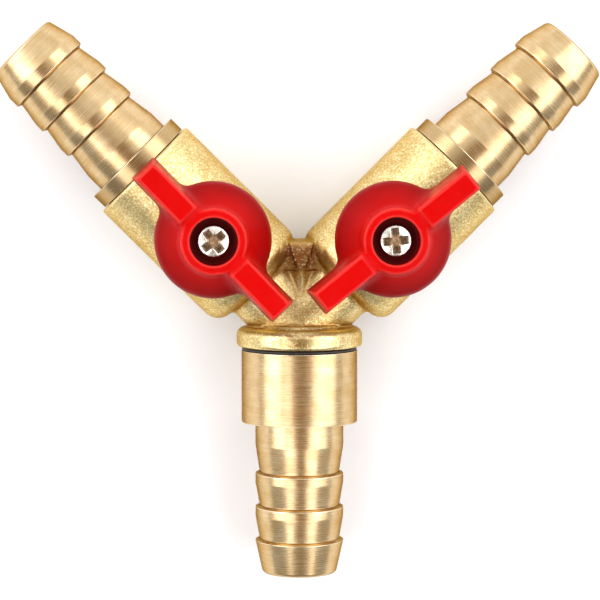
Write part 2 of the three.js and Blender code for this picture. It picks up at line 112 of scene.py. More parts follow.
# where the forging's patches and painted shade fade in or out, in the frame of the junction
FLASH_PATCH_HALF_WIDTH = (2.0, 3.4)
FLASH_PATCH_START = (8.6, 9.4)
FLASH_PATCH_END = (12.4, 13.4)
# the half width of the painted shade on the shoulders beside the fork
FORK_SHADE_HALF_WIDTH = (4.8, 6.0)
BEAD_PATCH = (-1.0, -1.8)

# barbed fittings
CREST_R = 7.05
VALLEY_R = 6.4
TIP_R = 6.0
TIP_ROUND = 0.3
EDGE_ROUND = 0.1
RING_R = 8.65
RING_LENGTH = 2.45
COLLAR_R = 9.25
COLLAR_BORE_R = 7.75
COLLAR_START = 4.2
COLLAR_LENGTH = 11.5
PLUG_GAP = 0.15
OUTLET_BARB = {
    "root": 2.8,
    "root_taper": 4.25,
    "land": 1.85,
    "taper": 3.65,
    "tip_land": 1.9,
    "tip_taper": 4.45,
}
INLET_BARB = {
    "root": 3.7,
    "root_taper": 4.35,
    "land": 1.7,
    "taper": 3.7,
    "tip_land": 0.25,
    "tip_taper": 5.3,
}
RIDGES = 3  # the last one is at the tip
RIDGE_RISE = 0.3  # length of the steep side of a ridge
TURNED_FACETS = 160

# gasket
GASKET_START = 3.75
GASKET_THICKNESS = 0.4
GASKET_INSET = 0.1  # from the collar's outside
GASKET_ROUND = 0.15

# handle
SKIRT_Z = 10.3
RIM_TOP = 11.4
SKIRT_R = 9.1
SKIRT_WALL = 1.0
CEILING_Z = 12.1
SOCKET_TOP = 13.5
SOCKET_WIDTH = 4.8
HEAD_SEAT_Z = 14.3
HUB_TOP = 16.8
HUB_R = 5.1
HUB_COLLAR = 1.6  # how far below its top the skirt's cone meets it
CONE_CROWN = 0.35
CONE_WALL = 1.3
SKIRT_EDGE = 0.25
SKIRT_FILLET = 0.8
HOLLOW_EDGE = 0.5
OVERCUT = 5  # how far a cutter passes the face that it opens
COUNTERBORE_R = 3.65
COUNTERBORE_EDGE = 0.3
SCREW_HOLE_R = 1.55
HANDLE_LENGTH = 31.2
WING_BASE_WIDTH = 4.9
WING_TOP_WIDTH = 3.5
WING_ROOT = 4.95
WING_ROOT_TOP = 17.0
WING_TIP_TOP = 17.4
WING_EDGE = 0.35
HUB_EDGE = 0.35
WING_FILLET = 1.6
RIB_THICKNESS = 1.2
RIB_INNER = 6.3
RIB_HEIGHT = 1.8
RIB_EDGE = 0.1
RIB_MIDDLE_Z = 11.3
RIB_ANGLES = (-15.2, 105.2)  # degrees about the stem, from the wing

# screw
HEAD_R = 2.43
HEAD_BASE = 14.35
HEAD_TOP = 15.75
HEAD_CROWN = 7.0  # radius of its dome
HEAD_EDGE = 0.12
SHANK_R = 1.45
SHANK_BOTTOM = 10.2
RECESS_SPAN = 4.1
RECESS_WIDTH = 1.35
RECESS_DEPTH = 1.0
RECESS_LEAN = 0.25  # how much its walls close in per mm of depth
RECESS_FILLET = 0.5
SCREW_TURN = {"left": -6, "right": 56}  # degrees of the cross from the wings

# distance fields: the grid's step, and how far it passes the shape
BODY_STEP, BODY_MARGIN = 0.24, 1.0
HANDLE_STEP, HANDLE_MARGIN = 0.14, 0.5
SCREW_STEP, SCREW_MARGIN = 0.06, 0.3

# ---------------------------------------------------------------- places, from the frame

JOINTS = {joint["name"]: joint for joint in frame["record"]["behaviour"]["joints"]}
VALVES = {name: Vector(JOINTS[f"{name}_valve_turn"]["pos_m"]) for name in SIDES}
CLOSED = {name: -JOINTS[f"{name}_valve_turn"]["range_deg"][0] for name in SIDES}
VALVE_ALONG = VALVES["right"].x / math.sin(math.radians(ARM_ANGLE)) / MM
JUNCTION = Vector((0, VALVES["right"].y - VALVES["right"].x, VALVES["right"].z))

CHAMBER_FLOOR = VALVE_ALONG - SEAT_BACK - FACE_GAP
INSERT_START = VALVE_ALONG + SEAT_BACK + FACE_GAP
ARM_END = INSERT_START + INSERT_LENGTH
MOUTH_START = INSERT_START + PILOT_LENGTH
SHOULDER_START = CHAMBER_FLOOR - SHOULDER_WALL
# where the painted shade on the shoulders fades out along the arm
SHOULDER_SHADE_SPAN = (SHOULDER_START + 2.4, SHOULDER_START + 1.9)


def about_z(degrees):
    return Matrix.Rotation(math.radians(degrees), 4, "Z")


def arm_place(name):
    return Matrix.Translation(JUNCTION) @ about_z(-SIDES[name] * ARM_ANGLE)


def valve_place(name):
    return Matrix.Translation(VALVES[name]) @ about_z(-SIDES[name] * ARM_ANGLE - CLOSED[name])


# ---------------------------------------------------------------- distance fields

C = math.sqrt(0.5)  # sine and cosine of ARM_ANGLE


def axes(low, high, step):
    """Coordinates of a grid from corner to corner, as three arrays that broadcast together."""
    lines = [np.arange(a, b + step, step, dtype=np.float32) for a, b in zip(low, high)]
    return np.meshgrid(*lines, indexing="ij", sparse=True)


def rod(axial, radial, low, high, radius, edge=0.0):
    """A cylinder from low to high with its edges rounded."""
    a = np.abs(axial - (low + high) / 2) - (high - low) / 2 + edge
    r = radial - radius + edge
    return np.minimum(np.maximum(a, r), 0) + np.hypot(np.maximum(a, 0), np.maximum(r, 0)) - edge


def block(x, y, z, width, length, height, edge=0.0):
    """A box about the origin of x, y and z with its edges rounded."""
    dx = np.abs(x) - width / 2 + edge
    dy = np.abs(y) - length / 2 + edge
    dz = np.abs(z) - height / 2 + edge
    outside = np.sqrt(np.maximum(dx, 0) ** 2 + np.maximum(dy, 0) ** 2 + np.maximum(dz, 0) ** 2)
    return outside + np.minimum(np.maximum(np.maximum(dx, dy), dz), 0) - edge


def join(a, b, fillet=0.0):
    if not fillet:
        return np.minimum(a, b)
    near = np.maximum(fillet - np.abs(a - b), 0) / fillet
    return np.minimum(a, b) - near * near * fillet / 4


def common(a, b, edge=0.0):
    return -join(-a, -b, edge)


def cut(a, b, edge=0.0):
    return common(a, -b, edge)


def surface(field, low, step):
    """Vertices in mm, faces pointing out, and curvature at each vertex, of the field's zero surface."""
    band = 3 * step
    grid = openvdb.FloatGrid(band)
    near = np.clip(field, -band, band).astype(np.float32)
    grid.copyFromArray(near)
    points, quads = grid.convertToQuads()
    # a field bends by as much as it differs from its average nearby
    spread = near
    for axis in range(3):
        spread = (np.roll(spread, 1, axis) + spread + np.roll(spread, -1, axis)) / 3
    bend = (spread - near) / (step * step)
    for axis in range(3):
        bend = (np.roll(bend, 1, axis) + 2 * bend + np.roll(bend, -1, axis)) / 4
    at = np.round(np.asarray(points)).astype(int)
    curve = bend[at[:, 0], at[:, 1], at[:, 2]]
    return np.asarray(points, float) * step + np.array(low), np.asarray(quads)[:, ::-1], curve


# ---------------------------------------------------------------- meshes

OWN_PLACE = "own_place"
CURVE = "curve"


def piece(name, points, faces, curve, place, body, slot, node, material):
    """A smooth-shaded object that stands for a CAD node, from points in mm in the frame of its own axis.

    The vertices are put in place, and each keeps its point in its own frame and how sharply the surface
    curves there, convex above nought, for the material."""
    own = np.asarray(points) * MM
    turn, shift = np.array(place.to_3x3()), np.array(place.translation)
    mesh = bpy.data.meshes.new(name)
    mesh.from_pydata((own @ turn.T + shift).tolist(), [], np.asarray(faces).tolist())
    mesh.attributes.new(OWN_PLACE, "FLOAT_VECTOR", "POINT").data.foreach_set("vector", own.ravel())
    mesh.attributes.new(CURVE, "FLOAT", "POINT").data.foreach_set("value", np.asarray(curve, float))
    bm = bmesh.new()
    bm.from_mesh(mesh)
    if bm.calc_volume(signed=True) < 0:
        bmesh.ops.reverse_faces(bm, faces=bm.faces)
    bm.to_mesh(mesh)
    bm.free()
    mesh.shade_smooth()
    mesh.materials.append(material)
    made = bpy.data.objects.new(name, mesh)
    bpy.context.collection.objects.link(made)
    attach(made, body)
    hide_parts(node)
    return made


def softened(profile, edge, steps=3):
    """The closed profile with each corner rounded by up to edge, and a point on each flat beside it."""
    points = [np.array(p, float) for p in profile]
    made = []
    for i, corner in enumerate(points):
        into, out = points[i - 1] - corner, points[(i + 1) % len(points)] - corner
        length_in, length_out = np.linalg.norm(into), np.linalg.norm(out)
        reach = min(edge, length_in * 0.4, length_out * 0.4)
        start = corner + into / length_in * reach
        end = corner + out / length_out * reach
        made.append(corner + into / length_in * min(3 * reach, length_in * 0.48))
        for k in range(steps + 1):
            u = k / steps
            made.append((1 - u) ** 2 * start + 2 * u * (1 - u) * corner + u * u * end)
        made.append(corner + out / length_out * min(3 * reach, length_out * 0.48))
    return made


def profile_curve(profile):
    """Curvature at each point of a closed profile that runs round its material clockwise."""
    points = np.array(profile)
    into = points - np.roll(points, 1, 0)
    out = np.roll(points, -1, 0) - points
    turn = np.arctan2(into[:, 0] * out[:, 1] - into[:, 1] * out[:, 0], (into * out).sum(1))
    return -2 * turn / (np.hypot(*into.T) + np.hypot(*out.T))


def turned(profile, facets=TURNED_FACETS):
    """Points, faces and curvature of a closed [along, radius] profile turned about +Y."""
    angles = np.arange(facets) * 2 * math.pi / facets
    points = [
        (radius * math.sin(angle), along, radius * math.cos(angle))
        for along, radius in profile
        for angle in angles
    ]
    rows = len(profile)
    faces = [
        (
            row * facets + k,
            row * facets + (k + 1) % facets,
            (row + 1) % rows * facets + (k + 1) % facets,
            (row + 1) % rows * facets + k,
        )
        for row in range(rows)
        for k in range(facets)
    ]
    return points, faces, np.repeat(profile_curve(profile), facets)


# ---------------------------------------------------------------- materials

class Nodes:
    """A node tree and the calls that add nodes to it."""

    def __init__(self, tree):
        self.tree = tree

    def put(self, node, inputs):
        for key, value in inputs.items():
            if isinstance(value, bpy.types.NodeSocket):
                self.tree.links.new(value, node.inputs[key])
            else:
                node.inputs[key].default_value = value

    def add(self, kind, inputs=None, **settings):
        node = self.tree.nodes.new(kind)
        for key, value in settings.items():
            setattr(node, key, value)
        self.put(node, inputs or {})
        return node

    def math(self, operation, a, b=0.0):
        return self.add("ShaderNodeMath", {0: a, 1: b}, operation=operation).outputs[0]

    def ramp(self, value, low, high, low_out=0.0, high_out=1.0):
        inputs = {"Value": value, "From Min": low, "From Max": high, "To Min": low_out, "To Max": high_out}
        return self.add("ShaderNodeMapRange", inputs).outputs["Result"]

    def fade(self, value, span, low_out=0.0, high_out=1.0):
        """From low_out to high_out as a value in metres passes the span, given in mm."""
        return self.ramp(value, span[0] * MM, span[1] * MM, low_out, high_out)

    def times(self, first, *others):
        for other in others:
            first = self.math("MULTIPLY", first, other)
        return first

    def mix(self, share, a, b):
        node = self.add("ShaderNodeMix", data_type="RGBA")
        self.put(node, {0: share})
        for socket, value in ((node.inputs[6], a), (node.inputs[7], b)):
            if isinstance(value, bpy.types.NodeSocket):
                self.tree.links.new(value, socket)
            else:
                socket.default_value = (*value, 1)
        return node.outputs[2]


class Finish(Nodes):
    """A new material, and the place on the piece that its textures follow."""

    def __init__(self, name, own_place=True, **constants):
        self.material = bpy.data.materials.new(name)
        self.material.use_nodes = True
        super().__init__(self.material.node_tree)
        self.shader = self.tree.nodes["Principled BSDF"]
        self.put(self.shader, {key.replace("_", " "): value for key, value in constants.items()})
        if own_place:
            self.place = self.add("ShaderNodeAttribute", attribute_name=OWN_PLACE).outputs["Vector"]
        else:
            self.place = self.add("ShaderNodeTexCoord").outputs["Object"]

    def stretched(self, x, y, z):
        """The place on the piece, scaled by x, y and z."""
        scaled = self.add("ShaderNodeVectorMath", {0: self.place, 1: (x, y, z)}, operation="MULTIPLY")
        return scaled.outputs[0]

    def noise(self, scale, detail=3.0, roughness=0.55, place=None):
        inputs = {"Vector": place or self.place, "Scale": scale, "Detail": detail, "Roughness": roughness}
        return self.add("ShaderNodeTexNoise", inputs).outputs["Fac"]

    def curve(self):
        return self.add("ShaderNodeAttribute", attribute_name=CURVE).outputs["Fac"]

    def from_axis(self, axis):
        """Distance from the piece's own axis, 1 for Y and 2 for Z."""
        across = self.stretched(*(int(k != axis) for k in range(3)))
        return self.add("ShaderNodeVectorMath", {0: across}, operation="LENGTH").outputs["Value"]

    def part(self, axis):
        return self.add("ShaderNodeSeparateXYZ", {0: self.place}).outputs[axis]

    def bump(self, height, distance, strength=1.0, normal=None):
        inputs = {"Height": height, "Distance": distance, "Strength": strength}
        if normal is not None:
            inputs["Normal"] = normal
        return self.add("ShaderNodeBump", inputs).outputs["Normal"]

    def looks(self, color=None, roughness=None, normal=None):
        given = {"Base Color": color, "Roughness": roughness, "Normal": normal}
        self.put(self.shader, {key: value for key, value in given.items() if value is not None})
        return self.material


def forged_brass():
    made = Finish("forged_brass", Metallic=1.0, Specular_Tint=(0.75, 0.57, 0.32, 1))
    tone = made.noise(260, 4)
    grain = made.noise(3300, 3, 0.65)
    color = made.mix(made.ramp(tone, 0.35, 0.65), (0.62, 0.45, 0.17), (0.745, 0.59, 0.285))
    color = made.mix(made.ramp(grain, 0.49, 0.36), color, (0.53, 0.33, 0.09))
    color = made.mix(made.ramp(grain, 0.52, 0.65), color, (0.97, 0.83, 0.47))
    # painted shade: concave creases and corners are darkened to brown
    color = made.mix(made.ramp(made.curve(), -0.12, -0.45, 0.0, 0.6), color, (0.46, 0.22, 0.05))
    # painted highlight: convex edges are lightened
    color = made.mix(made.ramp(made.curve(), 0.12, 0.5, 0.0, 0.4), color, (0.92, 0.78, 0.42))
    # painted shade: the shoulders beside the fork are darkened to olive brown
    out = made.math("ABSOLUTE", made.part(0))
    low = made.fade(made.part(1), FLASH_PATCH_START)
    along = made.math("MULTIPLY", made.math("ADD", out, made.part(1)), C)
    beside = made.fade(out, FORK_SHADE_HALF_WIDTH, 0.75, 0.0)
    shoulder_shade = made.times(beside, made.fade(along, SHOULDER_SHADE_SPAN), low)
    color = made.mix(shoulder_shade, color, (0.43, 0.25, 0.055))
    # the trimmed flash between them is rough and copper brown
    patch = made.times(
        made.fade(out, FLASH_PATCH_HALF_WIDTH, 1.0, 0.0),
        low,
        made.fade(made.part(1), FLASH_PATCH_END, 1.0, 0.0),
    )
    rough_patch = made.times(patch, made.ramp(made.noise(1500, 3), 0.36, 0.56))
    color = made.mix(rough_patch, color, (0.42, 0.165, 0.05))
    sparkle = made.times(patch, made.ramp(made.noise(2600, 2), 0.60, 0.66))
    color = made.mix(sparkle, color, (1.0, 0.85, 0.55))
    # the bead is smoother than the rest
    smooth = made.fade(made.part(1), BEAD_PATCH, 0.0, 0.08)
    roughness = made.math("SUBTRACT", made.ramp(tone, 0.3, 0.7, 0.32, 0.42), smooth)
    pits = made.bump(grain, 0.06 * MM, made.ramp(smooth, 0.0, 0.08, 1.0, 0.3))
    dents = made.bump(made.noise(700, 3), 0.10 * MM, 0.8, pits)
    flash = made.bump(made.times(patch, made.noise(1500, 4, 0.7)), 0.7 * MM, 0.9, dents)
    return made.looks(color, roughness, flash)


def turned_brass():
    made = Finish("turned_brass", Metallic=1.0, Specular_Tint=(0.45, 0.31, 0.18, 1))
    lines = made.noise(1.0, 2, 0.7, made.stretched(60, 5200, 60))
    fine = made.noise(1.0, 2, 0.6, made.stretched(260, 15000, 260))
    stain = made.noise(420, 4)
    color = made.mix(made.ramp(stain, 0.35, 0.7), (0.61, 0.42, 0.205), (0.72, 0.55, 0.32))
    color = made.mix(made.ramp(lines, 0.35, 0.65, 0.0, 0.38), color, (0.51, 0.32, 0.13))
    # the outlets' shoulder rings are darker
    wide = made.fade(made.from_axis(1), (CREST_R + 0.2, CREST_R + 0.5), 0.0, 0.8)
    ring = made.times(wide, made.fade(made.part(1), (ARM_END - 1, ARM_END)))
    color = made.mix(ring, color, (0.45, 0.31, 0.15))
    # painted shade: concave steps below the ridges are darkened to thin dark lines
    color = made.mix(made.ramp(made.curve(), -0.8, -5, 0.0, 0.85), color, (0.20, 0.10, 0.03))
    # painted highlight: convex ridge edges are lightened
    color = made.mix(made.ramp(made.curve(), 1, 6, 0.0, 0.6), color, (0.99, 0.90, 0.68))
    roughness = made.ramp(fine, 0.3, 0.7, 0.2, 0.34)
    coarse = made.bump(lines, 0.008 * MM)
    return made.looks(color, roughness, made.bump(fine, 0.002 * MM, 1.0, coarse))


def red_nylon():
    made = Finish("red_nylon", Specular_IOR_Level=0.08)
    # painted shade: the handle's colour darkens towards the bottom and lightens towards the top, by height
    height = made.fade(made.part(2), (RIM_TOP + 1, HUB_TOP))
    tone = made.math("ADD", height, made.ramp(made.noise(180, 3), 0.3, 0.7, -0.1, 0.1))
    color = made.mix(tone, (0.26, 0.0012, 0.001), (0.545, 0.001, 0.0008))
    # painted highlight: convex edges are lightened to pink
    color = made.mix(made.ramp(made.curve(), 0.2, 0.7, 0.0, 0.3), color, (0.90, 0.09, 0.07))
    # painted shade: the counterbore's inside is darkened
    counterbore_shade = made.fade(made.from_axis(2), (COUNTERBORE_R + 0.12, COUNTERBORE_R - 0.05))
    color = made.mix(counterbore_shade, color, (0.085, 0.0008, 0.0008))
    roughness = made.ramp(made.noise(600, 3), 0.3, 0.7, 0.30, 0.44)
    return made.looks(color, roughness, made.bump(made.noise(900, 3), 0.04 * MM, 0.35))


def plated_steel():
    made = Finish("plated_steel", Metallic=1.0)
    tone = made.noise(1500, 3)
    color = made.mix(made.ramp(tone, 0.4, 0.65), (0.80, 0.74, 0.62), (0.97, 0.95, 0.88))
    # painted shade: the recess below the dome is darkened to brown, with a painted highlight in its middle
    out = made.from_axis(2)
    sag = made.math("DIVIDE", made.math("MULTIPLY", out, out), 2 * HEAD_CROWN * MM)
    recess_shade = made.fade(made.math("ADD", made.part(2), sag), (HEAD_TOP - 0.12, HEAD_TOP - 0.4), 0.0, 0.85)
    color = made.mix(recess_shade, color, (0.17, 0.085, 0.025))
    color = made.mix(made.fade(out, (1.0, 0.6), 0.0, 0.8), color, (0.93, 0.70, 0.50))
    roughness = made.ramp(tone, 0.35, 0.7, 0.16, 0.36)
    return made.looks(color, roughness, made.bump(made.noise(2500, 3), 0.04 * MM, 0.5))


def plain_finish(name, low, high, roughness, metallic=0.0, scale=500):
    """A plain moulded, polished or rubber finish that varies a little between two tones."""
    made = Finish(name, own_place=False, Metallic=metallic)
    tone = made.noise(scale, 3)
    color = made.mix(made.ramp(tone, 0.35, 0.65), low, high)
    rough = made.ramp(tone, 0.3, 0.7, roughness * 0.85, roughness * 1.15)
    return made.looks(color, rough, made.bump(made.noise(scale * 3, 3), 0.03 * MM, 0.4))


FORGED = forged_brass()
TURNED = turned_brass()
RED = red_nylon()
STEEL = plated_steel()
RUBBER = plain_finish("black_rubber", (0.012, 0.009, 0.007), (0.035, 0.025, 0.016), 0.55)
PTFE = plain_finish("white_ptfe", (0.80, 0.79, 0.76), (0.88, 0.87, 0.85), 0.45)
STEM_BRASS = plain_finish("stem_brass", (0.77, 0.55, 0.28), (0.87, 0.69, 0.40), 0.25, 1.0)
CHROME = plain_finish("plated_ball", (0.70, 0.70, 0.70), (0.80, 0.80, 0.79), 0.1, 1.0)

# ---------------------------------------------------------------- forged body

def skin_wave(x, y, z):
    """Slow wander of the forging's skin, from 0 to 1."""
    waves = np.sin(1.1 * x + 0.7 * y + 0.4) * np.sin(1.3 * y - 0.8 * z + 1.9)
    waves = waves * np.sin(1.2 * z + 0.9 * x + 2.3)
    small = np.sin(3.1 * x - 2.3 * y + 0.7) * np.sin(2.9 * y + 2.6 * z + 0.2)
    small = small * np.sin(3.3 * z - 2.1 * x + 1.1)
    return 0.5 + 0.3 * waves + 0.2 * small


def arm_axes(side, x, y, z):
    """Distance along an arm, across it in the plane, and from its axis."""
    along = (side * x + y) * C
    across = (x - side * y) * C
    return along, across, np.hypot(across, z)


def arm_outside(along, across, radial, z):
    """The arm's barrel with the stem's boss and the lug that stops the handle."""
    barrel = rod(along, radial, SHOULDER_START, 2 * ARM_END, ARM_R, SHOULDER_ROUND)
    from_stem = np.hypot(along - VALVE_ALONG, across)
    boss = rod(z, from_stem, 0, BOSS_TOP, BOSS_R, BOSS_EDGE)
    lug_along = along - VALVE_ALONG - LUG_R / 2
    lug = block(across, lug_along, z - LUG_TOP / 2, LUG_WIDTH, LUG_R, LUG_TOP, BOSS_EDGE)
    return join(barrel, join(boss, lug, LUG_FILLET), BOSS_FILLET)


def ridge_web(x, y, z):
    """The roof that fills the crease between the branches, above and below."""
    slope = math.radians(RIDGE_SLOPE)
    top = RIDGE_TOP + (RIDGE_END_TOP - RIDGE_TOP) * np.clip(y / RIDGE_END, 0, 1)
    roof = (np.abs(z) - top) * math.cos(slope) + np.abs(x) * math.sin(slope)
    return np.maximum(roof, np.abs(y - RIDGE_END / 2) - RIDGE_END / 2)


def fork_floor(x, y, z):
    middle = (FORK_START + FORK_END) / 2
    return block(x, y - middle, z, FORK_WIDTH, FORK_END - FORK_START, FORK_THICKNESS, FORK_EDGE)


def fork_flash(x, y, z):
    """A plate that widens from FLASH_LOW_WIDTH to FLASH_TOP_WIDTH where the arms meet."""
    top = ARM_R / C
    share = np.clip((y - FLASH_START) / (top - FLASH_START), 0, 1)
    narrow = FLASH_LOW_WIDTH / FLASH_TOP_WIDTH + (1 - FLASH_LOW_WIDTH / FLASH_TOP_WIDTH) * share
    middle = (FLASH_START + top) / 2
    return block(x / narrow, y - middle, z, FLASH_TOP_WIDTH, top - FLASH_START, FLASH_THICKNESS) * narrow


def body_outside(x, y, z):
    down, inlet_r = -y, np.hypot(x, z)
    whole = np.sqrt(x * x + y * y + z * z) - BRANCH_R
    arms = []
    for side in SIDES.values():
        along, across, radial = arm_axes(side, x, y, z)
        whole = join(whole, rod(along, radial, 0, CHAMBER_FLOOR, BRANCH_R), CREASE_FILLET)
        arms.append(arm_outside(along, across, radial, z))
    for arm in arms:
        whole = join(whole, arm, BRANCH_FILLET)
    whole = join(whole, ridge_web(x, y, z), RIDGE_FILLET)
    whole = join(whole, fork_floor(x, y, z), FORK_FILLET)
    whole = join(whole, fork_flash(x, y, z), FORK_FILLET)
    upper = rod(down, inlet_r, BEAD_START, 2 * BEAD_END, BEAD_R, BEAD_ROUND)
    bead = common(upper, rod(down, inlet_r, -BEAD_END, BEAD_END, BEAD_R, BEAD_EDGE))
    neck = rod(down, inlet_r, 0, BEAD_END, BRANCH_R)
    whole = join(join(whole, neck, NECK_FILLET), bead, BEAD_FILLET)
    return whole + SKIN_WAVE * skin_wave(x, y, z)


def body_field(x, y, z):
    down, inlet_r = -y, np.hypot(x, z)
    whole = common(body_outside(x, y, z), down - BEAD_END, BEAD_FACE_EDGE)
    whole = join(whole, rod(down, inlet_r, 0, SPIGOT_END, SPIGOT_R, SPIGOT_EDGE))
    whole = cut(whole, rod(down, inlet_r, 0, 2 * SPIGOT_END, BORE_R))
    for side in SIDES.values():
        along, across, radial = arm_axes(side, x, y, z)
        from_stem = np.hypot(along - VALVE_ALONG, across)
        whole = common(whole, along - ARM_END, ARM_END_EDGE)
        whole = cut(whole, rod(along, radial, -1, ARM_END, BORE_R))
        whole = cut(whole, rod(along, radial, CHAMBER_FLOOR, ARM_END, CHAMBER_R))
        whole = cut(whole, rod(along, radial, MOUTH_START, 2 * ARM_END, MOUTH_R))
        whole = cut(whole, rod(z, from_stem, 0, POCKET_TOP, POCKET_R))
        whole = cut(whole, rod(z, from_stem, 0, 2 * BOSS_TOP, STEM_BORE_R))
    return whole


def make_body():
    reach = (ARM_END + ARM_R) * C + BODY_MARGIN
    low = (-reach, -SPIGOT_END - BODY_MARGIN, -BEAD_R - BODY_MARGIN)
    high = (reach, reach, BOSS_TOP + BODY_MARGIN)
    shape = surface(body_field(*axes(low, high, BODY_STEP)), low, BODY_STEP)
    place = Matrix.Translation(JUNCTION)
    piece("forged_body", *shape, place, "housing", "forged_brass", "valve_body", FORGED)


# ---------------------------------------------------------------- barbed fittings

def barb_profile(start, barb):
    """Outside of a hose barb from its root to its tip."""
    along = start + barb["root"]
    points = [(along, CREST_R)]
    along += barb["root_taper"]
    points.append((along, VALLEY_R))
    for _ in range(RIDGES - 1):
        points += [(along + RIDGE_RISE, CREST_R), (along + barb["land"], CREST_R)]
        along += barb["land"] + barb["taper"]
        points.append((along, VALLEY_R))
    points += [(along + RIDGE_RISE, CREST_R), (along + barb["tip_land"] + RIDGE_RISE / 2, CREST_R)]
    along += barb["tip_land"] + barb["tip_taper"]
    points += [(along - TIP_ROUND, TIP_R), (along, TIP_R - TIP_ROUND), (along, BORE_R)]
    return points


def make_barb(name, profile, place, node):
    shape = turned(softened(profile, EDGE_ROUND))
    piece(name, *shape, place, "housing", "turned_brass", node, TURNED)


def make_barbs():
    ring_start = ARM_END + FACE_GAP
    ring_end = ring_start + RING_LENGTH
    pilot_end = MOUTH_START + FACE_GAP
    outlet = [
        (INSERT_START, BORE_R),
        (INSERT_START, CHAMBER_R - PLUG_GAP),
        (pilot_end, CHAMBER_R - PLUG_GAP),
        (pilot_end, MOUTH_R - PLUG_GAP),
        (ring_start, MOUTH_R - PLUG_GAP),
        (ring_start, RING_R),
        (ring_end, RING_R),
        (ring_end, CREST_R),
        *barb_profile(ring_end, OUTLET_BARB),
    ]
    for name in SIDES:
        make_barb(f"{name}_outlet_turned", outlet, arm_place(name), f"{name}_outlet_barb")
    floor = SPIGOT_END + FACE_GAP
    collar_end = COLLAR_START + COLLAR_LENGTH
    inlet = [
        (floor, BORE_R),
        (floor, COLLAR_BORE_R),
        (COLLAR_START, COLLAR_BORE_R),
        (COLLAR_START, COLLAR_R),
        (collar_end, COLLAR_R),
        (collar_end, CREST_R),
        *barb_profile(collar_end, INLET_BARB),
    ]
    inlet_place = Matrix.Translation(JUNCTION) @ about_z(180)
    make_barb("inlet_turned", inlet, inlet_place, "inlet_barb")
    gasket_end = GASKET_START + GASKET_THICKNESS
    gasket = [
        (GASKET_START, COLLAR_BORE_R),
        (GASKET_START, COLLAR_R - GASKET_INSET),
        (gasket_end, COLLAR_R - GASKET_INSET),
        (gasket_end, COLLAR_BORE_R),
    ]
    shape = turned(softened(gasket, GASKET_ROUND))
    piece("inlet_seal", *shape, inlet_place, "housing", "black_rubber", "inlet_gasket", RUBBER)


# ---------------------------------------------------------------- handle and its screw

def wing_field(x, y, z):
    """Both wings: sides and ends lean in towards the top, and the top rises towards the tips."""
    rise = (WING_TIP_TOP - WING_ROOT_TOP) / (HANDLE_LENGTH / 2)
    top = WING_ROOT_TOP + rise * np.abs(y)
    draft = (WING_BASE_WIDTH - WING_TOP_WIDTH) / 2 / (WING_TIP_TOP - RIM_TOP)
    lean = draft * (z - RIM_TOP)
    dx = np.abs(x) - (WING_BASE_WIDTH / 2 - lean) + WING_EDGE
    middle = (HANDLE_LENGTH / 2 + WING_ROOT) / 2
    dy = np.abs(np.abs(y) - middle) - (HANDLE_LENGTH / 2 - middle - lean) + WING_EDGE
    dz = np.maximum(z - top, RIM_TOP - z) + WING_EDGE
    outside = np.sqrt(np.maximum(dx, 0) ** 2 + np.maximum(dy, 0) ** 2 + np.maximum(dz, 0) ** 2)
    return outside + np.minimum(np.maximum(np.maximum(dx, dy), dz), 0) - WING_EDGE


def handle_field(x, y, z):
    radial = np.hypot(x, y)
    cone_run, cone_rise = SKIRT_R - HUB_R, HUB_TOP - HUB_COLLAR - RIM_TOP
    slope = math.hypot(cone_run, cone_rise)
    cone = ((radial - SKIRT_R) * cone_rise + (z - RIM_TOP) * cone_run) / slope
    rim = rod(z, radial, SKIRT_Z, HUB_TOP, SKIRT_R, SKIRT_EDGE)
    skirt = common(rim, cone - CONE_CROWN, SKIRT_FILLET)
    hub = rod(z, radial, SKIRT_Z + 1, HUB_TOP, HUB_R, HUB_EDGE)
    whole = join(join(skirt, hub, SKIRT_FILLET), wing_field(x, y, z), WING_FILLET)
    hollow = rod(z, radial, SKIRT_Z - OVERCUT, CEILING_Z, SKIRT_R - SKIRT_WALL)
    whole = cut(whole, common(hollow, cone + CONE_WALL, HOLLOW_EDGE))
    for degrees in RIB_ANGLES:
        a = math.radians(degrees)
        out = -x * math.sin(a) + y * math.cos(a)
        side = x * math.cos(a) + y * math.sin(a)
        outer = SKIRT_R - SKIRT_WALL / 2
        middle = out - (RIB_INNER + outer) / 2
        rib = block(side, middle, z - RIB_MIDDLE_Z, RIB_THICKNESS, outer - RIB_INNER, RIB_HEIGHT, RIB_EDGE)
        whole = join(whole, rib)
    whole = cut(whole, rod(z, radial, HEAD_SEAT_Z, 2 * HUB_TOP, COUNTERBORE_R), COUNTERBORE_EDGE)
    whole = cut(whole, rod(z, radial, SKIRT_Z, HEAD_SEAT_Z + 1, SCREW_HOLE_R))
    return cut(whole, block(x, y, z - SOCKET_TOP + OVERCUT, SOCKET_WIDTH, SOCKET_WIDTH, 2 * OVERCUT))


def screw_field(x, y, z, degrees):
    radial = np.hypot(x, y)
    dome = np.sqrt(radial**2 + (z - HEAD_TOP + HEAD_CROWN) ** 2) - HEAD_CROWN
    head = common(rod(z, radial, HEAD_BASE, HEAD_TOP, HEAD_R, HEAD_EDGE), dome, HEAD_EDGE)
    whole = join(head, rod(z, radial, SHANK_BOTTOM, HEAD_BASE + 0.5, SHANK_R))
    a = math.radians(degrees)
    u = x * math.cos(a) + y * math.sin(a)
    v = y * math.cos(a) - x * math.sin(a)
    lean = RECESS_LEAN * (HEAD_TOP - z)
    depth = z - HEAD_TOP + RECESS_DEPTH / 2
    cross = join(
        block(u, v, depth, RECESS_SPAN, RECESS_WIDTH, RECESS_DEPTH * 2) + lean,
        block(u, v, depth, RECESS_WIDTH, RECESS_SPAN, RECESS_DEPTH * 2) + lean,
        RECESS_FILLET,
    )
    return cut(whole, common(cross, HEAD_TOP - RECESS_DEPTH - z), HEAD_EDGE)


